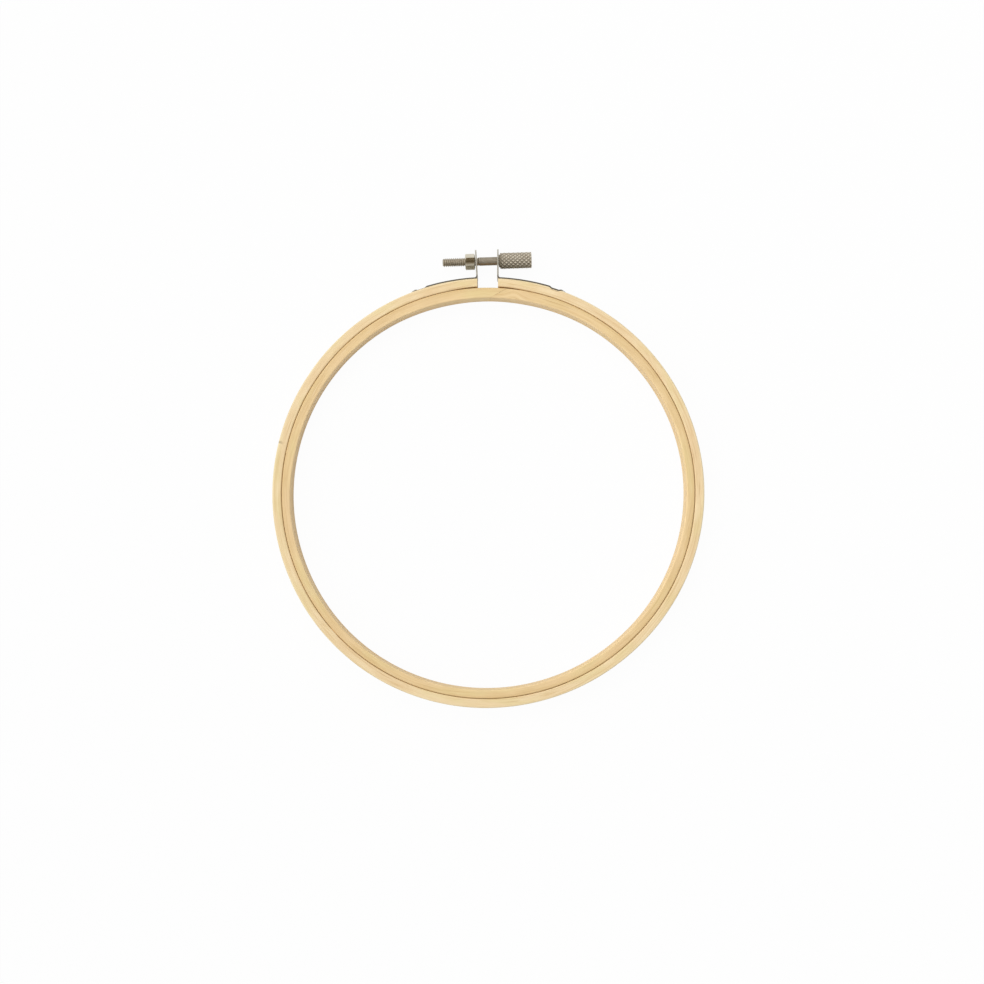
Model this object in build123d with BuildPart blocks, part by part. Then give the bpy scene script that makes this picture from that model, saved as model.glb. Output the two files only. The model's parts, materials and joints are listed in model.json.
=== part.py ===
from build123d import *
import os
from math import atan, cos, degrees, radians, sin, tan

# Embroidery hoop: a plain inner ring inside an outer ring that is open at the top.
# Two sheet brackets on the ends of the outer ring carry a thumb screw and its nut,
# which draw the outer ring closed on the cloth.
#
# The hoop lies flat. The origin is the centre of the rings, halfway up their height,
# +Z is up and +Y points at the gap and its screw. Lengths are in millimetres.

# Rings
hoop_radius = 76.2  # outside of the outer ring, a 6 inch hoop
ring_height = 9.5
outer_ring_thickness = 3.2
inner_ring_thickness = 2.95
seam = 0.28  # between the two rings, where the cloth is gripped
outer_ring_rounding = 0.45  # rounded edges of the outer ring
inner_ring_rounding = 0.45
ring_gap = 6.9  # between the ends of the outer ring

# Brackets, each a strap along the ring with a lug turned up beside the gap
sheet = 0.5
strap_width = 8.4
strap_reach = 27.9  # round the ring, from the middle of the gap to the strap's far end
strap_end_rounding = 2.6
bend_radius = 0.6  # inside the bend between strap and lug
fitted = 0.02  # how close the strap and the rivets lie to what holds them
lug_hole_diameter = 3.5
left_lug_offset = 4.1  # from the middle of the gap to the lug, along the screw
left_lug_lean = 3.0
right_lug_offset = 3.15
right_lug_lean = 0.0

# Trough that the far rivet pulls the strap down into
trough_depth = 0.42
trough_floor_length = 2.6
trough_ramp_length = 0.9

# Rivets, two through each strap
rivet_diameter = 1.3
rivet_head_diameter = 2.3
rivet_head_depth = 0.4
rivet_length = 2.7
rivet_point_length = 0.5
near_rivet_reach = 10.6  # round the ring, from the middle of the gap
far_rivet_inset = 3.7  # round the ring, from the strap's far end

# Screw
screw_stand_off = 7.0  # from the outside of the ring to the screw's axis
screw_tilt = 1.75  # the screw sits a little crooked in its loose holes
screw_reach = 19.8  # from under the collar to the screw's tip
plain_length = 6.85
shank_diameter = 2.95
thread_diameter = 3.0
thread_depth = 0.4
thread_pitch = 0.75
tip_chamfer = 0.3
collar_diameter = 4.5
collar_length = 0.45
collar_bearing_gap = 0.1
head_diameter = 5.75
head_length = 11.25
head_chamfer = 0.35

# Nut
nut_sides = 6
nut_across_flats = 5.1
nut_length = 3.45
nut_turn = 10.0  # its upper flat is turned this far towards the ring
nut_corner_chamfer = 0.3
nut_bearing_gap = 0.22
nut_thread_clearance = 0.05

# How far a cut runs past the surface that it opens
overrun = 1.0

# Radii and places that follow from the sizes above
outer_bore_radius = hoop_radius - outer_ring_thickness
inner_ring_radius = outer_bore_radius - seam
work_radius = inner_ring_radius - inner_ring_thickness
strap_inside_radius = hoop_radius + fitted
strap_outside_radius = strap_inside_radius + sheet
far_rivet_reach = strap_reach - far_rivet_inset
screw_axis_radius = hoop_radius + screw_stand_off
thread_radius = thread_diameter / 2
thread_root_radius = thread_radius - thread_depth
collar_start = right_lug_offset + sheet + collar_bearing_gap
screw_tip = collar_start - screw_reach
thread_end = collar_start - plain_length
head_start = collar_start + collar_length
head_end = head_start + head_length
nut_near_end = -left_lug_offset - sheet - nut_bearing_gap
nut_far_end = nut_near_end - nut_length

# The thread's outline over one pitch, as shares of the pitch and of the thread's depth
thread_form_shares = ((0.05, 0.0), (0.42, 1.0), (0.58, 1.0), (0.95, 0.0))

# The screw's own plane: X runs along its axis to the head, from the middle of the gap
screw_plane = Plane(
    origin=(0, screw_axis_radius, 0),
    x_dir=(cos(radians(screw_tilt)), sin(radians(screw_tilt)), 0),
    z_dir=(0, 0, 1),
)
screw_axis = Axis(screw_plane.origin, screw_plane.x_dir)


def screw_height(x):
    """Height above the hoop's centre, along Y, of the screw's axis at x."""
    return screw_axis_radius + x * tan(radians(screw_tilt))


def outward(reach):
    """Direction out of the hoop's right half, this far round it from the middle of the gap."""
    return Vector(sin(reach / hoop_radius), cos(reach / hoop_radius), 0)


def angle_from_gap(point):
    """Angle of a point round the hoop, from the middle of the gap."""
    return degrees(atan(point.X / point.Y))


def ring_section(inside, outside, rounding):
    """Rounded section of a ring, drawn on the XZ plane."""
    with Locations(((inside + outside) / 2, 0)):
        RectangleRounded(outside - inside, ring_height, rounding)


def trough_section(radius, rise):
    """Section of the trough below a surface of this radius, open for this rise above it."""
    half_floor = trough_floor_length / 2
    half_mouth = half_floor + trough_ramp_length
    middle = outward(far_rivet_reach) * radius
    turn = degrees(far_rivet_reach / hoop_radius)
    with Locations(Location((middle.X, middle.Y, 0), (0, 0, -turn))):
        return Polygon(
            (-half_mouth, rise),
            (-half_mouth, 0),
            (-half_floor, -trough_depth),
            (half_floor, -trough_depth),
            (half_mouth, 0),
            (half_mouth, rise),
            align=None,
            mode=Mode.PRIVATE,
        )


def rivet_places():
    """Planes on the strap at its two rivets, each square to the rivet and facing outward."""
    sinks = {near_rivet_reach: 0, far_rivet_reach: trough_depth}
    return [
        Plane(
            origin=outward(reach) * (strap_outside_radius - sink),
            x_dir=(0, 0, 1),
            z_dir=outward(reach),
        )
        for reach, sink in sinks.items()
    ]


def half_of_outer_ring():
    """Right half of the outer ring, from the gap round to the hoop's foot."""
    with BuildPart() as half:
        with BuildSketch(Plane.XZ):
            ring_section(outer_bore_radius, hoop_radius, outer_ring_rounding)
        revolve(axis=Axis.Z)
        split(bisect_by=Plane.YZ, keep=Keep.TOP)
        with BuildSketch():
            with Locations((0, hoop_radius)):
                Rectangle(ring_gap, hoop_radius)
        extrude(amount=ring_height, both=True, mode=Mode.SUBTRACT)
        with BuildSketch():
            add(trough_section(hoop_radius, overrun))
        extrude(amount=strap_width / 2 + fitted, both=True, mode=Mode.SUBTRACT)
        with Locations(*rivet_places()):
            Hole(rivet_diameter / 2 + fitted, depth=rivet_length + fitted)
    return half


def bracket(lug_offset, lug_lean, hole_height):
    """Right bracket: the strap follows the ring, the lug stands up beside the gap."""
    up = Vector(sin(radians(lug_lean)), cos(radians(lug_lean)), 0)
    away = Vector(cos(radians(lug_lean)), -sin(radians(lug_lean)), 0)
    hole = Vector(lug_offset, hole_height, 0)
    tip = hole + up * (strap_width / 2)
    far_end = outward(strap_reach)
    far_angle = degrees(strap_reach / hoop_radius)
    with BuildPart() as strap:
        with BuildSketch() as profile:
            with BuildLine():
                inside = CenterArc((0, 0), strap_inside_radius, 90, -far_angle, mode=Mode.PRIVATE)
                outside = CenterArc((0, 0), strap_outside_radius, 90, -far_angle, mode=Mode.PRIVATE)
                gap_side = IntersectingLine(tip, -up, inside)
                ring_side = IntersectingLine(tip + away * sheet, -up, outside)
                Line(gap_side @ 0, ring_side @ 0)
                inside_sweep = far_angle - angle_from_gap(gap_side @ 1)
                CenterArc((0, 0), strap_inside_radius, 90 - far_angle, inside_sweep)
                outside_sweep = far_angle - angle_from_gap(ring_side @ 1)
                CenterArc((0, 0), strap_outside_radius, 90 - far_angle, outside_sweep)
                Line(far_end * strap_inside_radius, far_end * strap_outside_radius)
            make_face()
            fillet(profile.vertices().sort_by_distance(ring_side @ 1)[0], bend_radius)
            fillet(profile.vertices().sort_by_distance(gap_side @ 1)[0], bend_radius + sheet)
            add(trough_section(strap_inside_radius, sheet / 2))
            add(trough_section(strap_outside_radius, overrun), mode=Mode.SUBTRACT)
        extrude(amount=strap_width / 2, both=True)
        # The far end's corners are rounded
        end_plane = Plane(origin=far_end * strap_outside_radius, x_dir=(0, 0, 1), z_dir=far_end)
        with BuildSketch(end_plane):
            with Locations((0, -strap_end_rounding)):
                Rectangle(
                    strap_width + 2 * overrun,
                    strap_end_rounding + overrun,
                    align=(Align.CENTER, Align.MIN),
                )
            with Locations((0, -strap_width / 2)):
                RectangleRounded(strap_width, strap_width, strap_end_rounding, mode=Mode.SUBTRACT)
        extrude(amount=sheet + trough_depth, both=True, mode=Mode.SUBTRACT)
        # The lug's end is round, about its hole
        with BuildSketch(Plane(origin=hole, x_dir=up, z_dir=away)):
            Rectangle(strap_width, strap_width + overrun, align=(Align.MIN, Align.CENTER))
            Circle(strap_width / 2, mode=Mode.SUBTRACT)
        extrude(amount=sheet + overrun, mode=Mode.SUBTRACT)
        with Locations(Plane(origin=hole + away * sheet, z_dir=away)):
            Hole(lug_hole_diameter / 2, depth=sheet + overrun)
        with Locations(*rivet_places()):
            CounterSinkHole(
                rivet_diameter / 2 + fitted,
                rivet_head_diameter / 2 + fitted,
                depth=sheet + overrun,
                counter_sink_angle=rivet_cone_angle(),
            )
    return strap


def rivet_cone_angle():
    """Full angle of the cone under a rivet's head."""
    spread = (rivet_head_diameter - rivet_diameter) / 2
    return 2 * degrees(atan(spread / rivet_head_depth))


def rivet(place):
    """Countersunk rivet with its head's flat face in a plane on the strap."""
    shank_radius = rivet_diameter / 2
    section = Plane(origin=place.origin, x_dir=place.x_dir, z_dir=place.x_dir.cross(place.z_dir))
    with BuildPart() as solid:
        with BuildSketch(section):
            with BuildLine():
                Polyline(
                    (0, 0),
                    (rivet_head_diameter / 2, 0),
                    (shank_radius, -rivet_head_depth),
                    (shank_radius, rivet_point_length - rivet_length),
                    (shank_radius / 2, -rivet_length),
                    (0, -rivet_length),
                    close=True,
                )
            make_face()
        revolve(axis=Axis(place.origin, place.z_dir))
    return solid


def mirrored(built):
    """The left-hand twin of a right-hand piece."""
    with BuildPart() as twin:
        add(built.part)
        mirror(about=Plane.YZ, mode=Mode.REPLACE)
    return twin


with BuildPart() as inner_ring:
    with BuildSketch(Plane.XZ):
        ring_section(work_radius, inner_ring_radius, inner_ring_rounding)
    revolve(axis=Axis.Z)

outer_ring_right = half_of_outer_ring()
outer_ring_left = mirrored(outer_ring_right)

bracket_right = bracket(right_lug_offset, right_lug_lean, screw_height(right_lug_offset))
bracket_left = mirrored(bracket(left_lug_offset, left_lug_lean, screw_height(-left_lug_offset)))

near_place, far_place = rivet_places()
rivet_right_near = rivet(near_place)
rivet_right_far = rivet(far_place)
rivet_left_near = mirrored(rivet_right_near)
rivet_left_far = mirrored(rivet_right_far)

# Screw: one turned piece with its thread as rings at the thread's pitch
with BuildPart() as thumb_screw:
    with BuildSketch(screw_plane):
        with BuildLine():
            turns = int((thread_end - screw_tip - tip_chamfer) / thread_pitch)
            thread_start = thread_end - turns * thread_pitch
            thread = [
                (
                    thread_start + (turn + along) * thread_pitch,
                    thread_root_radius + up * thread_depth,
                )
                for turn in range(turns)
                for along, up in thread_form_shares
            ]
            Polyline(
                (screw_tip, 0),
                (screw_tip, thread_root_radius - tip_chamfer),
                (screw_tip + tip_chamfer, thread_root_radius),
                *thread,
                (thread_end, shank_diameter / 2),
                (collar_start, shank_diameter / 2),
                (collar_start, collar_diameter / 2),
                (head_start, collar_diameter / 2),
                (head_start, head_diameter / 2 - head_chamfer),
                (head_start + head_chamfer, head_diameter / 2),
                (head_end - head_chamfer, head_diameter / 2),
                (head_end, head_diameter / 2 - head_chamfer),
                (head_end, 0),
                close=True,
            )
        make_face()
    revolve(axis=screw_axis)

# Nut: a hexagonal bar with its corners turned off at both ends
with BuildPart() as nut:
    nut_end = Plane(
        origin=screw_plane.from_local_coords((nut_far_end, 0, 0)),
        x_dir=(0, 0, 1),
        z_dir=screw_axis.direction,
    )
    with BuildSketch(nut_end):
        flat_to_corner = 180 / nut_sides
        RegularPolygon(
            nut_across_flats / 2,
            nut_sides,
            major_radius=False,
            rotation=flat_to_corner + nut_turn,
        )
    extrude(amount=nut_length)
    corner_radius = nut_across_flats / 2 / cos(radians(flat_to_corner))
    with BuildSketch(screw_plane):
        with BuildLine():
            Polyline(
                (nut_far_end, 0),
                (nut_far_end, corner_radius - nut_corner_chamfer),
                (nut_far_end + nut_corner_chamfer, corner_radius),
                (nut_near_end - nut_corner_chamfer, corner_radius),
                (nut_near_end, corner_radius - nut_corner_chamfer),
                (nut_near_end, 0),
                close=True,
            )
        make_face()
    revolve(axis=screw_axis, mode=Mode.INTERSECT)
    with Locations(nut_end):
        Cylinder(
            thread_radius + nut_thread_clearance,
            nut_length + overrun,
            align=(Align.CENTER, Align.CENTER, Align.MIN),
            mode=Mode.SUBTRACT,
        )

pieces = {
    "inner_ring": inner_ring,
    "outer_ring_left": outer_ring_left,
    "outer_ring_right": outer_ring_right,
    "bracket_left": bracket_left,
    "bracket_right": bracket_right,
    "rivet_left_near": rivet_left_near,
    "rivet_left_far": rivet_left_far,
    "rivet_right_near": rivet_right_near,
    "rivet_right_far": rivet_right_far,
    "thumb_screw": thumb_screw,
    "nut": nut,
}

os.makedirs("parts", exist_ok=True)
for name, piece in pieces.items():
    piece.part.label = name
    export_step(piece.part, f"parts/{name}.step")
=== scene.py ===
import json
from math import asin, cos, pi, radians, sin, tau

import bmesh
import bpy
import numpy as np
from mathutils import Matrix, Vector


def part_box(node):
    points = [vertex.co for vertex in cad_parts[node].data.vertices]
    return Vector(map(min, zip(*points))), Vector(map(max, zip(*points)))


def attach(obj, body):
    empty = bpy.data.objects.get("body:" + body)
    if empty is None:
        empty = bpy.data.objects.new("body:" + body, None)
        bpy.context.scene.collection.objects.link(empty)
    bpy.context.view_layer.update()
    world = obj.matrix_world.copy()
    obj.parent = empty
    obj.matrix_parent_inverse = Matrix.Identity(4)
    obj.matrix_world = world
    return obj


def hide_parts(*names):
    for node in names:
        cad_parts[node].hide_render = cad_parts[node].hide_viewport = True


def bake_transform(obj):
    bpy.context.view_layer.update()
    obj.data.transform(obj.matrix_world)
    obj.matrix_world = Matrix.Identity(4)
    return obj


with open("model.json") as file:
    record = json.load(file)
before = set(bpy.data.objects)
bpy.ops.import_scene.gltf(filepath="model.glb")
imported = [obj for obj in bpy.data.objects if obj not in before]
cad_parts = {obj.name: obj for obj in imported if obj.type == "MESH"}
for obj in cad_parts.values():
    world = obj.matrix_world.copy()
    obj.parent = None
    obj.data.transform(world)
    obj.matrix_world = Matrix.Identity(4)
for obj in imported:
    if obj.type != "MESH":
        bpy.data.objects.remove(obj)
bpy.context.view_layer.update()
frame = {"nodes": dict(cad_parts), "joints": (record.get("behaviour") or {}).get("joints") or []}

# The embroidery hoop's looks: two bent bamboo strips, a pair of plated sheet brackets with
# their rivets, a knurled thumb screw and its nut. Lengths are in millimetres until a mesh
# is made. The origin is the centre of the rings, +Z is up and +Y points at the gap.
MM = 0.001


def box_mm(node):
    """Lowest and highest corner of a node of the frame, in millimetres."""
    low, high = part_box(node)
    return low / MM, high / MM


joints = {joint["name"]: joint for joint in frame["joints"]}

# Rings
hoop_radius = box_mm("outer_ring_right")[1].x
half_height = box_mm("inner_ring")[1].z
outer_thickness = 3.2
inner_thickness = 2.95
visible_seam = 0.13
seam_creep = 0.05  # each ring swells this much into the seam
edge_rounding = 0.42
least_rounding = 0.06  # at the ends, where the sections draw in
ring_gap = 6.9
cut_end_rounding = 0.2
cut_end_reach = 5  # the grain counts the distance from an end up to this
squared_reach = 12  # the outer ring's ends are cut square to X, eased over this length
left_end_short = 0.4  # the left end is cut this much further back
flattening = 0.87  # the rings are drawn in this much at their flattest place
flattest_turn = radians(157)  # clockwise from the gap, as seen from above
flattened_reach = radians(80)  # to both sides of it
end_flare = 0.3  # the outer ring stands off the inner one at its ends
flare_reach = 13
touching_place = 303.2  # round the ring from the gap, where the two rings touch
touch_swell = 0.12
touch_reach = 0.3, 2.4  # from all of it to none

# The inner ring's joint, a scarf that laps a little, so the ring is thicker there
joint_rounding = 0.03
glue = 0.001  # between faces that are joined
joint_swell = 0.4
swell_reach = 8, 45
scarf_inside, scarf_outside = 0.6, 6.8  # to the right of the gap's middle
scarf_reach = 26
proud_share, proud_reach = 0.01, 20  # one end stands a little prouder than the other
work_lean = 0.45  # the inner ring's wall leans in this much at its top, round the joint
lean_turns = radians(30), radians(80), radians(262), radians(284)  # where it ends and begins
knot_place, knot_reach, knot_bow = 9.5, 3.2, 1.3
knot_rise = 4.1, 4.65  # the fibres bow round the knot on the top and bottom faces only

# Uneven sanding
edge_wander_share = 0.2
height_wander_share = 0.006
outer_side_wander = 0.05
inner_side_wander = 0.045
bore_wander = 0.05
free_of_brackets = 30, 55  # from the gap

# Distances between the strips' sections, which lie closer together near the ends
outer_fine_step = 0.25
inner_fine_step = 0.4
coarse_step = 0.75
fine_reach = 30
end_rounding_places = 0, 0.01, 0.03, 0.06, 0.1, 0.15, 0.2, 0.28
end_rounding_reach = 0.4

# Brackets and rivets
sheet = 0.5
strap_half_width = 4.2
trough_depth = 0.42
trough_floor_length = 2.6
trough_ramp_length = 0.9
outside_share = 0.2  # of the strip's thickness, which the trough presses down
near_rivet_reach = 10.6
far_rivet_reach = 24.2
fitted = 0.02
rivet_head_radius = 1.15
rivet_shank_radius = 0.65
rivet_length = 2.7
rivet_dome = 0.16
dome_power = 2.4
dome_shares = 0.12, 0.3, 0.5, 0.68, 0.82, 0.92, 0.98
rim_drop, rim_depth = 0.03, 0.1
rivet_head_depth = 0.4
rivet_point = 0.5
hammering = 0.018
soft_edge = 0.07  # rounding of the brackets' edges
sharp_turn = 35  # edges that turn by more degrees than this are rounded

# Screw and nut, placed along the screw's axis from the middle of the gap
screw_axis_place = Vector(joints["screw_turn"]["pos_m"]) / MM
screw_direction = Vector(joints["screw_turn"]["axis"]).normalized()
screw_tip = -16.4
thread_end = -3.1
collar_start = 3.75
head_start = 4.2
head_end = 15.45
thread_pitch = 0.75
thread_crest_radius = 1.5
thread_root_radius = 1.18
root_share = 0.06  # of the pitch, half of the flat root
flank_share = 0.34
tip_chamfer, tip_chamfer_depth = 0.35, 0.48
shank_radius = 1.475
collar_radius = 2.25
head_radius = 2.875
knurls_around = 12
knurl_length = 1.58
knurl_depth = 0.3
knurl_flank_share = 0.4
collar_chamfer = 0.08
head_chamfer = 0.22
head_corner = 0.2
head_dimple, head_dimple_radius = 0.03, 1.2
nut_far_end = -8.27
nut_near_end = -4.82
nut_half_flats = 2.55
nut_crown = 0.11  # each flat is a little rounded
nut_turn = 10.0
nut_clearance = 0.05
nut_corner = 0.055  # half the turn that a rounded corner takes
nut_corner_swell = 0.035
nut_flat_shares = -1, -0.93, -0.86, -0.6, -0.3, 0, 0.3, 0.6, 0.86, 0.93
far_cone_draw, far_cone_slope = 0.05, 1.9
near_cone_draw, near_cone_slope = 0.25, 2.4
nut_mouth = 0.12
nut_bore_margin = 0.1

# Sections to a pitch of the thread or the knurl, and to the shank and a rivet
thread_sections = 12
nut_thread_sections = 10
knurl_sections = 12
shank_sections = 14
rivet_sections = 40
sliver = 0.01  # keeps two sections apart at a sharp step

# Relief: 0 in a groove, painted dark with dirt and painted shade; 1 on a crest or a face, painted
# pale with wear and a painted highlight
groove_relief = 0.2
shank_relief = 0.16
root_relief, crest_relief = 0.28, 0.63
chamfer_relief = 0.75
face_relief = 0.9
nut_relief, nut_mouth_relief = 0.85, 0.6


class Wire:
    """An output of a finish's nodes. Arithmetic on wires adds the nodes that work it out."""

    def __init__(self, finish, socket):
        self.finish = finish
        self.socket = socket

    def math(self, operation, *values):
        sockets = dict(enumerate(values))
        return self.finish.add("ShaderNodeMath", {"operation": operation}, sockets)

    def __add__(self, other):
        return self.math("ADD", self, other)

    def __radd__(self, other):
        return self.math("ADD", other, self)

    def __sub__(self, other):
        return self.math("SUBTRACT", self, other)

    def __rsub__(self, other):
        return self.math("SUBTRACT", other, self)

    def __mul__(self, other):
        return self.math("MULTIPLY", self, other)

    def __rmul__(self, other):
        return self.math("MULTIPLY", other, self)

    def __truediv__(self, other):
        return self.math("DIVIDE", self, other)

    def __rtruediv__(self, other):
        return self.math("DIVIDE", other, self)

    def __pow__(self, other):
        return self.math("POWER", self, other)

    def __rpow__(self, other):
        return self.math("POWER", other, self)

    def __abs__(self):
        return self.math("ABSOLUTE", self)

    def least(self, other):
        return self.math("MINIMUM", self, other)

    def most(self, other):
        return self.math("MAXIMUM", self, other)

    def step(self, start, end):
        """Smooth rise from 0 at start to 1 at end. With end below start it falls instead."""
        settings = {"interpolation_type": "SMOOTHSTEP"}
        if end < start:
            limits = {"From Min": end, "From Max": start, "To Min": 1.0, "To Max": 0.0}
        else:
            limits = {"From Min": start, "From Max": end}
        return self.finish.add("ShaderNodeMapRange", settings, {"Value": self, **limits})


class Finish:
    """A material and the nodes that make it."""

    def __init__(self, tree):
        self.tree = tree
        tree.nodes.clear()

    def add(self, kind, settings=None, sockets=None, output=0):
        """A node of this kind, its settings made first and then its sockets filled."""
        node = self.tree.nodes.new(kind)
        for name, value in (settings or {}).items():
            setattr(node, name, value)
        for name, value in (sockets or {}).items():
            if isinstance(value, Wire):
                self.tree.links.new(value.socket, node.inputs[name])
            else:
                node.inputs[name].default_value = value
        return Wire(self, node.outputs[output]) if node.outputs else node

    def attribute(self, name, output):
        return self.add("ShaderNodeAttribute", {"attribute_name": name}, output=output)

    def split(self, vector):
        """The three numbers of a vector."""
        parts = self.add("ShaderNodeSeparateXYZ", sockets={"Vector": vector}).socket.node
        return [Wire(self, socket) for socket in parts.outputs]

    def vector(self, x, y, z):
        return self.add("ShaderNodeCombineXYZ", sockets={0: x, 1: y, 2: z})

    def noise(self, place, detail=2.0, rough=0.5):
        sockets = {"Vector": place, "Scale": 1.0, "Detail": detail, "Roughness": rough}
        return self.add("ShaderNodeTexNoise", sockets=sockets)

    def cells(self, place):
        """Distance to the nearest point of a scatter with about one point to a unit cube."""
        settings = {"feature": "F1"}
        return self.add("ShaderNodeTexVoronoi", settings, {"Vector": place, "Scale": 1.0})

    def mix(self, share, first, second):
        """Colour that turns from the first to the second as the share goes from 0 to 1."""
        settings = {"data_type": "RGBA", "blend_type": "MIX", "clamp_factor": True}
        return self.add("ShaderNodeMix", settings, {0: share, 6: first, 7: second}, output=2)


def tint(red, green, blue):
    """Colour for a shader from its display values, 0 to 255."""
    def linear(value):
        value /= 255
        return value / 12.92 if value <= 0.04045 else ((value + 0.055) / 1.055) ** 2.4

    return linear(red), linear(green), linear(blue), 1.0


def surface(finish, steady, varied, raised, distance, strength):
    """Ends a finish: its surface's steady and varied sockets, and how it is raised in places."""
    bump = {"Height": raised, "Distance": distance * MM, "Strength": strength}
    normal = finish.add("ShaderNodeBump", sockets=bump)
    shader = finish.add("ShaderNodeBsdfPrincipled", sockets={**steady, **varied, "Normal": normal})
    finish.add("ShaderNodeOutputMaterial", sockets={"Surface": shader})


def new_finish(name):
    """A new material and the finish that its nodes are made in."""
    material = bpy.data.materials.new(name)
    material.use_nodes = True
    return material, Finish(material.node_tree)


# Bamboo's marks, each as long and as wide as this, and how far its fibres stray
thread_size = 9, 0.11
streak_size = 34, 0.42
bundle_size = 60, 0.5
cloud_length, cloud_depth, cloud_height = 11, 3.2, 4.5
warm_length, warm_depth, warm_height = 17, 5, 7
wander_length, climb_length, stray_height = 38, 52, 30
fibre_wander = 2.6
fibre_climb = 3.2
warm_wood, green_wood = tint(238, 205, 158), tint(233, 214, 152)
streak_wood = tint(214, 178, 118)
thread_wood, pale_thread_wood = tint(200, 160, 102), tint(252, 236, 204)
bundle_wood = tint(172, 126, 74)
cane_joint_wood, cane_band_wood = tint(142, 112, 82), tint(246, 224, 180)
end_grain_and_shade_wood, cut_bundle_wood = tint(198, 164, 116), tint(140, 104, 66)


def bamboo(name, tones, outer_face_tone, inner_face_tone, thickness, cane_joints, offset):
    """Bamboo strip, its fibres running along it.

    tones are its light and dark shade. skin and pith are the tone of its outer and inner
    side, how strong that is and how deep it reaches. cane_joints are the cane's joints:
    where each is along the strip, and how strongly it shows.
    """
    material, wood = new_finish(name)
    place = wood.attribute("grain", "Vector")
    along, depth, height = wood.split(place)
    ring_along = along + offset

    # Fibres wander slowly across the strip
    slow_height = height / stray_height
    wandering = wood.noise(wood.vector(ring_along / wander_length, slow_height, 0.0), 1.0)
    climbing = wood.noise(wood.vector(ring_along / climb_length, 7.3, slow_height), 1.0)
    across = depth + (wandering - 0.5) * fibre_wander
    up = height + (climbing - 0.5) * fibre_climb

    def drawn_out(length, width):
        """Place in a pattern whose marks are this long along the fibres and this wide."""
        return wood.vector(ring_along / length, across / width, up / width)

    threads = wood.noise(drawn_out(*thread_size), 3.0, 0.6)
    streaks = wood.noise(drawn_out(*streak_size), 2.0, 0.55)
    bundle_cells = wood.cells(drawn_out(*bundle_size))
    bundles = bundle_cells.step(0.3, 0.1) * streaks.step(0.35, 0.62)
    cloud_place = wood.vector(
        ring_along / cloud_length, depth / cloud_depth, height / cloud_height
    )
    clouds = wood.noise(cloud_place, 3.0, 0.55)
    warm_place = wood.vector(
        ring_along / warm_length, depth / warm_depth, height / warm_height + 11.0
    )
    warm_clouds = wood.noise(warm_place, 2.0)

    color = wood.mix(clouds.step(0.34, 0.68), tones[1], tones[0])
    color = wood.mix(warm_clouds.step(0.45, 0.72) * 0.55, color, warm_wood)
    color = wood.mix(warm_clouds.step(0.5, 0.3) * 0.45, color, green_wood)
    # On the outer ring the paler outer face is partly a painted highlight of its rounded edge
    for (side_tone, strength, reach), from_side in ((outer_face_tone, depth), (inner_face_tone, thickness - depth)):
        color = wood.mix(from_side.step(reach, 0.0) * strength, color, side_tone)
    color = wood.mix(streaks.step(0.48, 0.72) * 0.4, color, streak_wood)
    color = wood.mix(threads.step(0.52, 0.74) * 0.4, color, thread_wood)
    color = wood.mix(threads.step(0.46, 0.26) * 0.4, color, pale_thread_wood)
    color = wood.mix(bundles * 0.32, color, bundle_wood)

    # Joints of the cane: a thin brown line with a paler swollen band beside it
    for joint_place, strength in cane_joints:
        bend = (clouds - 0.5) * 1.6 + (streaks - 0.5) * 0.8
        beside = abs(along - joint_place + bend)
        near_skin = depth.step(thickness * 0.75, 0.2)
        color = wood.mix(beside.step(3.2, 0.6) * 0.2, color, cane_band_wood)
        color = wood.mix(beside.step(0.7, 0.1) * near_skin * strength, color, cane_joint_wood)

    # Cut ends show the bundles as dots in darker wood, darkened partly as end grain and partly as
    # painted shade of the end faces
    end = wood.attribute("from_end", "Fac")
    cut = end.step(0.12, 0.02)
    color = wood.mix(cut * 0.4, color, end_grain_and_shade_wood)
    color = wood.mix(cut * bundle_cells.step(0.42, 0.2) * 0.6, color, cut_bundle_wood)

    rough = 0.5 + (threads - 0.5) * 0.3 + cut * 0.15 - depth.step(0.75, 0.0) * 0.08
    raised = threads * 0.2 + streaks * 0.6 - bundles * 0.4
    varied = {"Base Color": color, "Roughness": rough}
    surface(wood, {"Specular IOR Level": 0.42}, varied, raised, 0.05, 0.25)
    return material


# Marks on the plating
patch_size = 2.3
specks_to_mm = 3.1
least_rough = 0.12
strap_near, strap_clear = 0.7, 1.6  # outside the ring, where the strap ends and the lug begins
speck_tone, line_tone = tint(96, 84, 66), tint(112, 106, 94)
# Groove tone of dirt and painted shade, and crest tone of wear and painted highlight
groove_dirt_and_shade_tone, crest_wear_and_highlight_tone = tint(74, 64, 50), tint(236, 229, 213)
cut_tone, strap_cut_tone = tint(104, 98, 84), tint(72, 62, 48)


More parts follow.
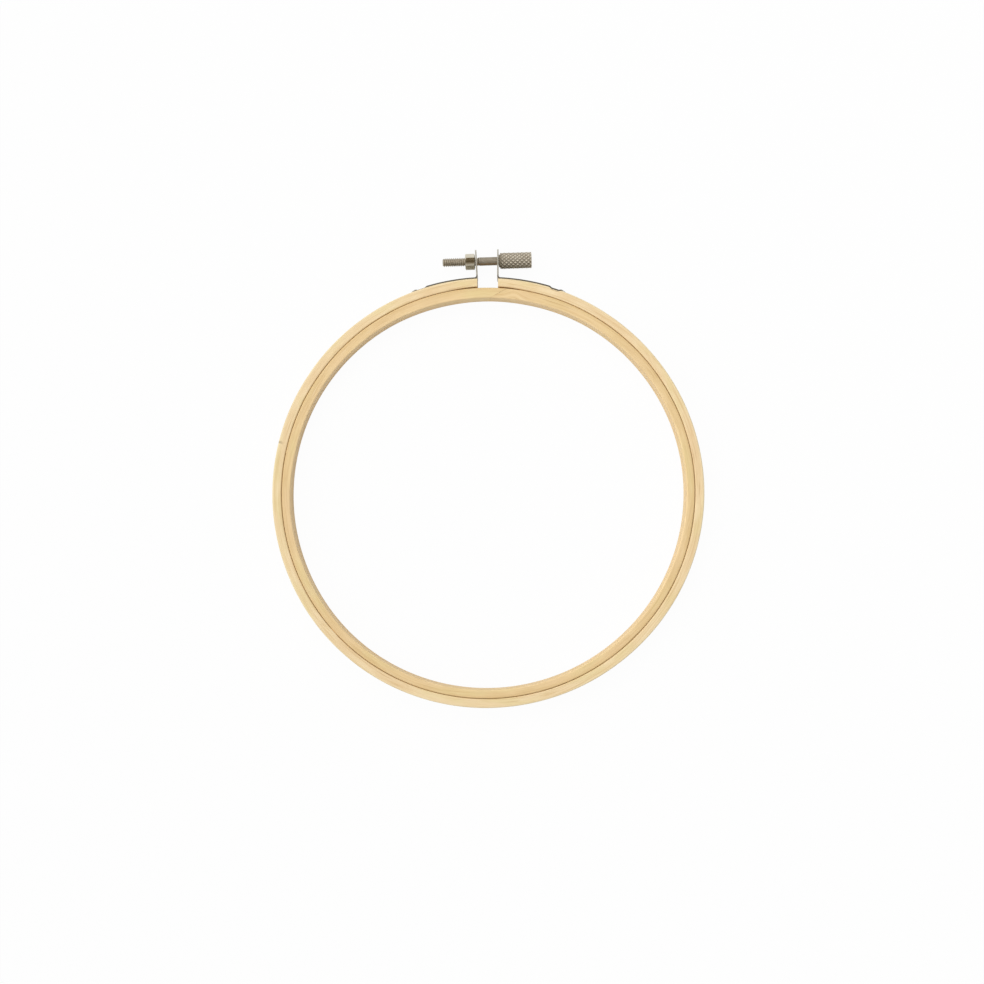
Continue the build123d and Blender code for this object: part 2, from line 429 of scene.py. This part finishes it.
def plated(name, tone, dull_tone, rough, brushing, relief=False, edges=False):
    """Nickel-plated steel that has been handled: fine lines from making, dulled patches.

    brushing is how many fine lines there are to a millimetre along X, Y and Z. relief is
    for pieces with a relief attribute, and edges for the cut edges of the sheet.
    """
    material, metal = new_finish(name)
    coordinates = metal.add("ShaderNodeTexCoord", output="Object")
    x, y, z = (part / MM for part in metal.split(coordinates))
    x_lines, y_lines, z_lines = brushing
    fine = metal.noise(metal.vector(x * x_lines, y * y_lines, z * z_lines), 3.0, 0.6)
    patches = metal.noise(metal.vector(x / patch_size, y / patch_size, z / patch_size), 4.0, 0.6)
    speck_place = metal.vector(x * specks_to_mm, y * specks_to_mm, z * specks_to_mm)
    specks = metal.noise(speck_place, 2.0, 0.5)

    color = metal.mix(patches.step(0.36, 0.7) * 0.6, tone, dull_tone)
    color = metal.mix(specks.step(0.62, 0.78) * 0.2, color, speck_tone)
    color = metal.mix(fine.step(0.45, 0.7) * 0.25, color, line_tone)
    spread = rough + (patches - 0.5) * 0.12 + (fine - 0.5) * 0.16
    if relief:
        # Dirt and painted shade darken the bottom of the thread and of the knurl, and their crests
        # and faces are painted pale, partly as wear and partly as a painted highlight
        raised = metal.attribute("relief", "Fac")
        groove_dirt_and_shade = raised.step(0.42, 0.0)
        color = metal.mix(groove_dirt_and_shade * 0.4, color, groove_dirt_and_shade_tone)
        color = metal.mix(raised.step(0.65, 1.0) * 0.75, color, crest_wear_and_highlight_tone)
        spread = spread + groove_dirt_and_shade * 0.25
    if edges:
        # The sheet's cut edges are rougher and darker than its faces
        normal = metal.add("ShaderNodeNewGeometry", output="Normal")
        facing_up = abs(metal.split(normal)[2])
        cut = facing_up.step(0.7, 0.95)
        color = metal.mix(cut * 0.15, color, cut_tone)
        from_axis = (x * x + y * y) ** 0.5
        strap = from_axis.step(hoop_radius + strap_clear, hoop_radius + strap_near)
        color = metal.mix(cut * strap * 0.75, color, strap_cut_tone)
        spread = spread + cut * 0.1
    varied = {"Base Color": color, "Roughness": spread.most(least_rough)}
    surface(metal, {"Metallic": 1.0}, varied, fine + patches * 0.4, 0.012, 0.5)
    return material


def ease(value, start, end):
    """Smooth rise of an array from 0 at start to 1 at end."""
    share = np.clip((value - start) / (end - start), 0, 1)
    return share * share * (3 - 2 * share)


def wander(along, length, seed, slowest=2, waves=9):
    """Slow uneven drift along a ring, from -1 to 1, that meets itself after one turn."""
    draw = np.random.default_rng(seed)
    counts = np.arange(slowest, slowest + waves)
    phases = draw.uniform(0, tau, waves)
    weights = draw.uniform(0.4, 1.0, waves) / np.sqrt(counts)
    drift = np.sin(np.outer(along / length * tau, counts) + phases) @ weights
    return drift / weights.sum()


def mesh_object(name, points, faces, finish, attributes=None, crease=34):
    """Object from points in millimetres, with its faces turned outward and smoothly shaded."""
    mesh = bpy.data.meshes.new(name)
    mesh.from_pydata((np.asarray(points) * MM).tolist(), [], faces)
    shaped = bmesh.new()
    shaped.from_mesh(mesh)
    bmesh.ops.recalc_face_normals(shaped, faces=shaped.faces)
    shaped.to_mesh(mesh)
    shaped.free()
    for attribute, values in (attributes or {}).items():
        values = np.asarray(values, dtype=np.float32)
        kind = "FLOAT_VECTOR" if values.ndim == 2 else "FLOAT"
        layer = mesh.attributes.new(attribute, kind, "POINT")
        layer.data.foreach_set("vector" if values.ndim == 2 else "value", values.ravel())
    mesh.polygons.foreach_set("use_smooth", [True] * len(mesh.polygons))
    mesh.set_sharp_from_angle(angle=radians(crease))
    mesh.materials.append(finish)
    piece = bpy.data.objects.new(name, mesh)
    bpy.context.scene.collection.objects.link(piece)
    return piece


def loft_faces(rows, columns, closed=False):
    """Quads between rows of points, each row a loop. Its end rows meet, or each is filled."""
    faces = []
    for row in range(rows if closed else rows - 1):
        here = row * columns
        there = (row + 1) % rows * columns
        for column in range(columns):
            beside = (column + 1) % columns
            faces.append((here + column, here + beside, there + beside, there + column))
    if not closed:
        faces.append(tuple(range(columns)))
        faces.append(tuple(range((rows - 1) * columns, rows * columns)))
    return faces


# A strip's section as four numbers to a point: which way and how far the point lies from the
# middle of the section, in shares of its flat half-sides and then of its corner rounding
corner_steps = 5
wall_shares = (-0.97, -0.955, -0.8, -0.6, -0.4, -0.2, 0, 0.2, 0.4, 0.6, 0.8, 0.955, 0.97)
top_shares = (-0.8, -0.4, 0, 0.4, 0.8)


def section_points():
    """Points round the section: out, up, out by rounding, up by rounding."""
    points = []
    corner = [radians(90 * step / corner_steps) for step in range(corner_steps + 1)]
    points += [(1, share, 1, 0) for share in wall_shares]
    points += [(1, 1, cos(turn), sin(turn)) for turn in corner]
    points += [(-share, 1, 0, 1) for share in top_shares]
    points += [(-1, 1, -sin(turn), cos(turn)) for turn in corner]
    points += [(-1, -share, -1, 0) for share in wall_shares]
    points += [(-1, -1, -cos(turn), -sin(turn)) for turn in corner]
    points += [(share, -1, 0, -1) for share in top_shares]
    points += [(1, -1, sin(turn), -cos(turn)) for turn in corner]
    return np.array(points)


def strip_sections(thickness, inset, rounding):
    """Depth under the outer face and height of each section's points, one row a section."""
    out, up, out_round, up_round = section_points().T
    rounding = np.maximum(rounding - inset, least_rounding)[:, None]
    half_thickness = thickness / 2 - inset[:, None]
    half_rise = half_height - inset[:, None]
    outward = out * (half_thickness - rounding) + out_round * rounding
    rise = up * (half_rise - rounding) + up_round * rounding
    return thickness / 2 - outward, rise


def end_inset(from_end, radius):
    """How far a rounded end draws in, at each distance from the end's face."""
    inside = np.clip(radius - from_end, 0, radius)
    return radius - np.sqrt(radius * radius - inside * inside)


def out_of_round(angle):
    """How far the rings' radius differs from a true round's."""
    aside = np.minimum(np.abs(angle - flattest_turn) / flattened_reach, 1)
    return -flattening * (1 + np.cos(pi * aside)) / 2


def ring_points(radius, angle, rise):
    """Points round the hoop's axis, at each angle clockwise from the gap as seen from above."""
    return np.stack([radius * np.sin(angle), radius * np.cos(angle), rise], axis=-1)


def fine_near_ends(length, margin, fine_step):
    """Places along a strip, close together near its two ends and closest on their rounding."""
    rounded = margin + np.array(end_rounding_places)
    near = np.arange(margin + end_rounding_reach, margin + fine_reach, fine_step)
    start = np.concatenate([rounded, near])
    middle_count = int((length - 2 * (margin + fine_reach)) / coarse_step)
    middle = np.linspace(margin + fine_reach, length - margin - fine_reach, middle_count)
    return np.concatenate([start, middle, length - start[::-1]])


def outer_hoop(finish):
    """The outer ring: one strip, open at the gap, with a trough under each far rivet."""
    length = tau * hoop_radius
    along = fine_near_ends(length, ring_gap / 2, outer_fine_step)
    from_gap = np.minimum(along, length - along)
    from_end = from_gap - ring_gap / 2
    away = ease(from_gap, *free_of_brackets)
    edge_wander = edge_wander_share * away * wander(along, length, 3, waves=24)
    rounding = edge_rounding * (1 + edge_wander)
    inset = end_inset(from_end, cut_end_rounding)
    depth, rise = strip_sections(outer_thickness, inset, rounding)

    # Uneven sanding of the outside, the bore and the two edges
    outside_dip = outer_side_wander * away * (1 + wander(along, length, 5, waves=16))
    bore_shift = bore_wander * wander(along, length, 8, slowest=3, waves=30)
    share = depth / outer_thickness
    flare = end_flare * (1 - ease(from_end, 0, flare_reach))
    touch = touch_swell * (1 - ease(np.abs(along - touching_place), *touch_reach))
    creep = seam_creep + bore_shift + touch - flare
    shift = -outside_dip[:, None] * (1 - share) - creep[:, None] * share
    shift = shift + out_of_round(along / hoop_radius)[:, None]
    level = 1 - height_wander_share * (1 + wander(along, length, 9, waves=14))

    # The strap presses the wood down under the far rivet
    half_floor = trough_floor_length / 2
    to_rivet = np.abs(from_gap - far_rivet_reach)
    slope = np.clip((half_floor + trough_ramp_length - to_rivet) / trough_ramp_length, 0, 1)
    outside = share < outside_share
    under_strap = (np.abs(rise) < strap_half_width) & outside
    # On the right the wood over the strap's end has chipped away
    chipped = (along < length / 2)[:, None] & (rise > 0) & outside
    shift = shift - trough_depth * slope[:, None] * (under_strap | chipped)

    radius = hoop_radius - depth + shift
    # Near the gap the sections turn, so that the strip's ends are flat and square to X
    start = np.arcsin(ring_gap / 2 / radius) - asin(ring_gap / 2 / hoop_radius)
    at_end = 1 - ease(from_end, 0, squared_reach)
    cut_back = left_end_short * at_end * (along > length / 2)
    middle_angle = ((along - cut_back) / hoop_radius)[:, None]
    turned = np.where(middle_angle < pi, start, -start) * at_end[:, None]
    points = ring_points(radius, middle_angle + turned, rise * level[:, None])
    grain = np.stack([np.broadcast_to(along[:, None], depth.shape), depth, rise], axis=-1)
    rows, columns = depth.shape
    hoop = mesh_object(
        "outer_hoop",
        points.reshape(-1, 3),
        loft_faces(rows, columns),
        finish,
        {
            "grain": grain.reshape(-1, 3),
            "from_end": np.repeat(np.minimum(from_end, cut_end_reach), columns),
        },
    )
    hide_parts("outer_ring_left", "outer_ring_right")
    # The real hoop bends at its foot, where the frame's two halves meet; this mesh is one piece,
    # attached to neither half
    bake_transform(hoop)
    return hoop


def inner_hoop(finish):
    """The inner ring: a strip glued end to end in a slanting joint just under the gap."""
    radius_outside = hoop_radius - outer_thickness - seam_creep - visible_seam
    length = tau * radius_outside
    along = fine_near_ends(length, glue, inner_fine_step)
    from_end = np.minimum(along, length - along) - glue
    edge_wander = edge_wander_share * wander(along, length, 21, waves=24)
    rounding = edge_rounding * (1 + edge_wander)
    inset = end_inset(from_end, joint_rounding)
    depth, rise = strip_sections(inner_thickness, inset, rounding)
    share = depth / inner_thickness
    outside_shift = inner_side_wander * wander(along, length, 23, slowest=3, waves=30)
    work_shift = bore_wander * (wander(along, length, 24, waves=16) - 1)
    work_shift = work_shift + joint_swell * (1 - ease(from_end, *swell_reach))
    right_end, right_start, left_start, left_end = lean_turns
    turn = along / radius_outside
    lean = 1 - ease(turn, right_end, right_start) + ease(turn, left_start, left_end)
    lean = work_lean * lean[:, None] * (1 + rise / half_height) / 2
    shift = outside_shift[:, None] * (1 - share) - (work_shift[:, None] + lean) * share
    level = 1 - height_wander_share * (1 + wander(along, length, 25, waves=14))
    level = level - proud_share * (1 - ease(along, 0, proud_reach))

    radius = radius_outside - depth + shift + out_of_round(along / radius_outside)[:, None]
    slant = scarf_outside + (scarf_inside - scarf_outside) * share
    fade = (1 - ease(from_end, 0, scarf_reach))[:, None]
    angle = (along / radius_outside)[:, None] + slant / radius_outside * fade
    points = ring_points(radius, angle, rise * level[:, None])
    ring_along = angle * radius_outside
    # The fibres bow round a small knot beside the joint
    bow = knot_bow * np.exp(-(((ring_along - knot_place) / knot_reach) ** 2))
    bow = bow * ease(np.abs(rise), *knot_rise)
    grain = np.stack([ring_along, depth + bow, rise], axis=-1)
    rows, columns = depth.shape
    hoop = mesh_object(
        "inner_hoop",
        points.reshape(-1, 3),
        loft_faces(rows, columns),
        finish,
        {
            "grain": grain.reshape(-1, 3),
            "from_end": np.repeat(np.minimum(from_end, cut_end_reach), columns),
        },
    )
    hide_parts("inner_ring")
    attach(hoop, "inner_ring")
    return hoop


def thread_rise(along, turn):
    """Height of the screw's thread over its root, from 0 to 1, right-handed."""
    phase = ((along - thread_end) / thread_pitch - turn / tau) % 1
    return np.clip((0.5 - np.abs(phase - 0.5) - root_share) / flank_share, 0, 1)


def knurl_rise(along, turn):
    """Height of the diamond knurl over its grooves, from 0 to 1."""
    across = turn / tau * knurls_around
    one = (across + along / knurl_length) % 1
    other = (across - along / knurl_length) % 1
    ridge = np.minimum(0.5 - np.abs(one - 0.5), 0.5 - np.abs(other - 0.5))
    return np.clip(ridge / knurl_flank_share, 0, 1)


def around_screw(along, turn, radius):
    """Points at each place along the screw's axis, each turn round it and each radius."""
    aside = Vector((-screw_direction.y, screw_direction.x, 0))
    up = screw_direction.cross(aside)
    axis_points = np.array(screw_axis_place) + along[..., None] * np.array(screw_direction)
    spoke = np.cos(turn)[..., None] * np.array(aside) + np.sin(turn)[..., None] * np.array(up)
    return axis_points + radius[..., None] * spoke


def turned_piece(name, stations, turn, finish, crease, closed=False):
    """A piece round the screw's axis, from stations along it.

    A station is a place on the axis, the radius there and its relief, which is 0 in a groove,
    painted dark with dirt and painted shade, and 1 on a crest, painted pale with wear and a
    painted highlight. Radius and relief may change with the turn.
    """
    along, radius, relief = (
        np.array([number + 0 * turn for number in numbers]) for numbers in zip(*stations)
    )
    rows, columns = radius.shape
    return mesh_object(
        name,
        around_screw(along, turn + 0 * along, radius).reshape(-1, 3),
        loft_faces(rows, columns, closed=closed),
        finish,
        {"relief": relief.ravel()},
        crease=crease,
    )


def knurled_screw(finish):
    """The thumb screw, turned from one bar: thread, plain shank, collar and knurled head."""
    turn = np.arange(0, tau, tau / (knurls_around * knurl_sections))
    stations = []
    for place in np.arange(screw_tip, thread_end, thread_pitch / thread_sections):
        crest = thread_rise(place, turn)
        runout = np.clip((thread_end - place) / thread_pitch, 0, 1)
        root = thread_root_radius * runout + shank_radius * (1 - runout)
        radius = root + (thread_crest_radius - thread_root_radius) * crest * runout
        draw = tip_chamfer_depth * max(0, 1 - (place - screw_tip) / tip_chamfer)
        relief = root_relief + (crest_relief - root_relief) * crest
        stations.append((place, np.minimum(radius, thread_crest_radius - draw), relief))
    for place in np.linspace(thread_end, collar_start - 2 * sliver, shank_sections):
        stations.append((place, shank_radius, shank_relief))
    stations += [
        (collar_start - sliver, shank_radius + 2 * sliver, groove_relief),
        (collar_start, collar_radius - collar_chamfer, 0.6),
        (collar_start + collar_chamfer * 0.3, collar_radius - collar_chamfer * 0.3, face_relief),
        (collar_start + collar_chamfer, collar_radius, face_relief),
        (head_start - 2 * sliver, collar_radius, 0.5),
        (head_start, collar_radius + 2 * sliver, groove_relief),
        (head_start + sliver / 2, head_radius - head_chamfer - head_corner / 2, 0.7),
    ]
    knurled = head_start + 0.3 * head_corner, head_end - 0.2 * head_corner
    for place in np.arange(*knurled, knurl_length / knurl_sections):
        rise = knurl_rise(place - head_start, turn)
        from_ends = min(place - head_start, head_end - place)
        limit = head_radius - max(0, head_chamfer - from_ends)
        radius = np.minimum(head_radius - knurl_depth * (1 - rise), limit)
        on_chamfer = from_ends < head_chamfer * 0.6
        stations.append((place, radius, np.maximum(rise, chamfer_relief * on_chamfer)))
    stations += [
        (head_end - 1.5 * sliver, head_radius - head_chamfer - 0.3 * head_corner, face_relief),
        (head_end, head_radius - head_chamfer - 0.7 * head_corner, face_relief),
        (head_end - head_dimple, head_dimple_radius, face_relief),
    ]
    screw = turned_piece("knurled_screw", stations, turn, finish, crease=50)
    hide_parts("thumb_screw")
    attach(screw, "thumb_screw")
    return screw


def hexagon_nut(finish):
    """The nut: a hexagonal bar with its two ends' corners turned off."""
    side = tau / 6
    # A flat points up, turned a little towards the ring
    first_flat = pi / 2 + radians(nut_turn)
    offsets = np.array(nut_flat_shares) * side / 2
    turn = np.concatenate([first_flat + side * number + offsets for number in range(6)])
    from_flat = (turn - first_flat + side / 2) % side - side / 2
    hexagon = nut_half_flats / np.cos(from_flat) - nut_crown * (2 * from_flat / side) ** 2
    hexagon = np.minimum(hexagon, nut_half_flats / cos(side / 2 - nut_corner) + nut_corner_swell)
    length = nut_near_end - nut_far_end

    stations = []
    # Places close together on the two cones
    far_shares, near_shares = np.linspace(0, 0.16, 9), np.linspace(0.8, 1, 12)
    for share in np.concatenate([far_shares, [0.3, 0.5, 0.7], near_shares]):
        place = share * length
        far_cone = nut_half_flats - far_cone_draw + far_cone_slope * place
        near_cone = nut_half_flats - near_cone_draw + near_cone_slope * (length - place)
        radius = np.minimum(np.minimum(hexagon, far_cone), near_cone)
        stations.append((nut_far_end + place, radius, nut_relief))
    mouth = thread_crest_radius + nut_mouth
    stations.append((nut_near_end, mouth, nut_mouth_relief))
    bored = nut_near_end - nut_bore_margin, nut_far_end + nut_bore_margin
    for place in np.arange(*bored, -thread_pitch / nut_thread_sections):
        crest = (thread_crest_radius - thread_root_radius) * thread_rise(place, turn)
        stations.append((place, thread_root_radius + crest + nut_clearance, groove_relief))
    stations.append((nut_far_end, mouth, nut_mouth_relief))

    nut = turned_piece("hexagon_nut", stations, turn, finish, crease=28, closed=True)
    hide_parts("nut")
    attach(nut, "nut")
    return nut


def rivet(side, name, reach, sink, finish):
    """A rivet with a low hammered dome, flush with the strap at its rim."""
    angle = side * reach / hoop_radius
    outward = Vector((sin(angle), cos(angle), 0))
    across = Vector((cos(angle), -sin(angle), 0))
    head_place = outward * (hoop_radius + fitted + sheet - sink)
    rim_radius = rivet_head_radius - fitted
    profile = [
        (rim_radius * share, rivet_dome * (1 - share ** dome_power) - rim_drop)
        for share in dome_shares
    ]
    profile += [
        (rim_radius, -2 * rim_drop),
        (rim_radius - rim_drop, -rim_depth),
        (rivet_shank_radius, -rivet_head_depth),
        (rivet_shank_radius, rivet_point - rivet_length),
        (rivet_shank_radius / 2, -rivet_length),
    ]
    # Dirt and painted shade darken the rim, where it meets the strap
    relief = [0.6 if radius < rim_radius * 0.9 else 0.05 for radius, _ in profile]
    draw = np.random.default_rng(int(100 * reach) + (side > 0))
    turns = np.arange(0, tau, tau / rivet_sections)
    lean = draw.uniform(0, tau)
    points = []
    for radius, height in profile:
        for turn in turns:
            dent = hammering * cos(3 * turn + lean) * (radius / rim_radius)
            rise = height + dent * (height > -rim_depth / 2)
            spoke = across * cos(turn) + Vector((0, 0, 1)) * sin(turn)
            points.append(head_place + spoke * radius + outward * rise)
    head = mesh_object(
        name + "_hammered",
        points,
        loft_faces(len(profile), len(turns)),
        finish,
        {"relief": np.repeat(relief, len(turns))},
        crease=40,
    )
    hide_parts(name)
    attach(head, "right_half" if side > 0 else "left_half")
    return head


def soften(node, finish):
    """Rounds the edges of a piece of the frame a little and gives it its finish."""
    piece = frame["nodes"][node]
    piece.data.materials.clear()
    piece.data.materials.append(finish)
    weld = piece.modifiers.new("joined_faces", "WELD")
    weld.merge_threshold = glue * MM
    bevel = piece.modifiers.new("soft_edges", "BEVEL")
    bevel.width = soft_edge * MM
    bevel.segments = 2
    bevel.limit_method = "ANGLE"
    bevel.angle_limit = radians(sharp_turn)
    bevel.harden_normals = False
    return piece


white = (1, 1, 1, 1)
lit_paper = (0.86, 0.86, 0.86, 1)
white_share = 0.96  # of what the camera sees of the floor, and the rest is its shadow
dim_share, bright_share = 0.15, 0.45  # what metal sees of it near the screw, and added past it
screw_near, screw_past = 0.082, 0.1  # in metres along +Y
room_light, past_gap_light, camera_shade = 0.7, 0.26, 0.57
camera_edge, camera_middle = 0.94, 0.99  # the height of the direction that metal sees
warm_shade = tint(255, 222, 165)
sky_light, window_lean, gap_lean, least_light = 0.6, 0.29, 0.06, 0.05


def kinds_of_ray(finish):
    """1 for rays from the camera, from a reflection and through glass, else 0."""
    rays = finish.add("ShaderNodeLightPath").socket.node
    names = "Is Camera Ray", "Is Glossy Ray", "Is Transmission Ray"
    return [Wire(finish, rays.outputs[name]) for name in names]


def floor_finish():
    """White floor that keeps the hoop's faint shadow."""
    material, paper = new_finish("studio_floor")
    shown, glossy, through = kinds_of_ray(paper)
    # Polished metal sees it dim in the narrow place between the screw and the rings: painted
    # shade, seen only in reflections
    position = paper.add("ShaderNodeNewGeometry", output="Position")
    past_screw = paper.split(position)[1].step(screw_near, screw_past)
    mirrored = glossy * (past_screw * bright_share + dim_share)
    share = ((shown + through) * white_share + mirrored).least(white_share)
    lit = paper.add("ShaderNodeBsdfDiffuse", sockets={"Color": lit_paper, "Roughness": 0.5})
    glow = paper.add("ShaderNodeEmission", sockets={"Color": white, "Strength": 1.0})
    both = paper.add("ShaderNodeMixShader", sockets={0: share, 1: lit, 2: glow})
    paper.add("ShaderNodeOutputMaterial", sockets={"Surface": both})
    return material


def sky():
    """White world that lights the hoop softly and shows its metal a room."""
    world = bpy.data.worlds.new("studio_sky")
    bpy.context.scene.world = world
    world.use_nodes = True
    air = Finish(world.node_tree)
    shown, glossy, through = kinds_of_ray(air)
    direction = air.add("ShaderNodeTexCoord", output="Generated")
    toward_head, toward_gap, height = air.split(direction)
    # Polished metal sees walls that are paler past the gap, and the dark camera overhead
    overhead = height.step(camera_edge, camera_middle)
    mirrored = room_light + toward_gap * past_gap_light - overhead * camera_shade
    shade = air.mix(glossy * overhead, white, warm_shade)
    # The rest is lit softly, more from the window's side
    lit = (sky_light - toward_head * window_lean + toward_gap * gap_lean).most(least_light)
    strength = glossy * mirrored + (shown + through) + (1 - shown - glossy - through) * lit
    background = air.add("ShaderNodeBackground", sockets={"Color": shade, "Strength": strength})
    air.add("ShaderNodeOutputWorld", sockets={"Surface": background})


def hang_light(name, kind, toward, distance):
    """A lamp this way from the hoop and this far, turned to face it."""
    lamp = bpy.data.lights.new(name, kind)
    hung = bpy.data.objects.new(name, lamp)
    hung.location = toward.normalized() * distance * MM
    hung.rotation_euler = toward.to_track_quat("Z", "Y").to_euler()
    bpy.context.scene.collection.objects.link(hung)
    return hung


def studio():
    """Floor, sky and lamps at a plain level, white behind the hoop."""
    half_side, floor_drop = 3000, 0.03
    floor_height = -half_height - floor_drop
    corners = [
        (x * half_side, y * half_side, floor_height)
        for x, y in ((-1, -1), (1, -1), (1, 1), (-1, 1))
    ]
    floor = mesh_object("studio_floor", corners, [(0, 1, 2, 3)], floor_finish())
    sky()

    past_gap = Vector((0, 300, 520))
    overhead = hang_light("top_light", "AREA", past_gap, past_gap.length)
    overhead.data.energy = 0.7
    overhead.data.size = 0.3
    overhead.visible_glossy = False

    elevation, turned = radians(50), radians(170)
    level = cos(elevation)
    from_window = Vector((level * cos(turned), level * sin(turned), sin(elevation)))
    window = hang_light("window_light", "SUN", from_window, 0)
    window.data.energy = 0.85
    window.data.angle = radians(70)
    window.data.color = (1.0, 0.985, 0.96)


def camera():
    """The photograph's camera, straight above the hoop and a little towards its foot."""
    seen_from = Vector((5.5, -25.7, 494.75)) * MM
    looked_at = Vector((1.36, 0.136, 4.75)) * MM
    back = (seen_from - looked_at).normalized()
    right = (Vector((1, 0, 0)) - back * back.x).normalized()
    up = back.cross(right)
    lens = bpy.data.cameras.new("camera")
    focal_pixels, photo_pixels, film_width = 1394, 984, 36
    lens.sensor_width = film_width
    lens.lens = film_width * focal_pixels / photo_pixels
    lens.clip_start, lens.clip_end = 0.01, 20
    stand = bpy.data.objects.new("camera", lens)
    turned = Matrix((right, up, back)).transposed().to_4x4()
    stand.matrix_world = Matrix.Translation(seen_from) @ turned
    bpy.context.scene.collection.objects.link(stand)
    bpy.context.scene.camera = stand


camera()
studio()

outer_bamboo = bamboo(
    "outer_bamboo",
    tones=(tint(249, 225, 181), tint(243, 216, 169)),
    # Paler towards its outer face, partly the bamboo's skin and partly a painted highlight of the
    # rounded outer edge
    outer_face_tone=(tint(244, 228, 186), 0.5, 1.0),
    inner_face_tone=(tint(222, 190, 138), 0.4, 0.45),
    thickness=outer_thickness,
    cane_joints=((377.2, 0.5),),
    offset=0.0,
)
inner_bamboo = bamboo(
    "inner_bamboo",
    tones=(tint(243, 213, 160), tint(234, 203, 149)),
    outer_face_tone=(tint(226, 193, 137), 0.6, 1.7),
    inner_face_tone=(tint(248, 220, 170), 0.5, 1.0),
    thickness=inner_thickness,
    cane_joints=((306.0, 0.15),),
    offset=900.0,
)
plated_screw = plated(
    "plated_screw",
    tone=tint(192, 182, 164),
    dull_tone=tint(170, 159, 139),
    rough=0.36,
    brushing=(14, 0.6, 0.6),
    relief=True,
)
plated_nut = plated(
    "plated_nut",
    tone=tint(217, 210, 188),
    dull_tone=tint(192, 182, 153),
    rough=0.12,
    brushing=(0.5, 9, 9),
    relief=True,
)
plated_sheet = plated(
    "plated_sheet",
    tone=tint(204, 200, 188),
    dull_tone=tint(180, 174, 158),
    rough=0.3,
    brushing=(0.5, 6, 12),
    edges=True,
)
rivet_steel = plated(
    "rivet_steel",
    tone=tint(190, 186, 176),
    dull_tone=tint(150, 144, 130),
    rough=0.34,
    brushing=(4, 4, 4),
    relief=True,
)

outer_hoop(outer_bamboo)
inner_hoop(inner_bamboo)
knurled_screw(plated_screw)
hexagon_nut(plated_nut)
for side, hand in ((1, "right"), (-1, "left")):
    soften("bracket_" + hand, plated_sheet)
    rivet(side, f"rivet_{hand}_near", near_rivet_reach, 0, rivet_steel)
    rivet(side, f"rivet_{hand}_far", far_rivet_reach, trough_depth, rivet_steel)

bpy.context.scene.view_settings.view_transform = "Standard"
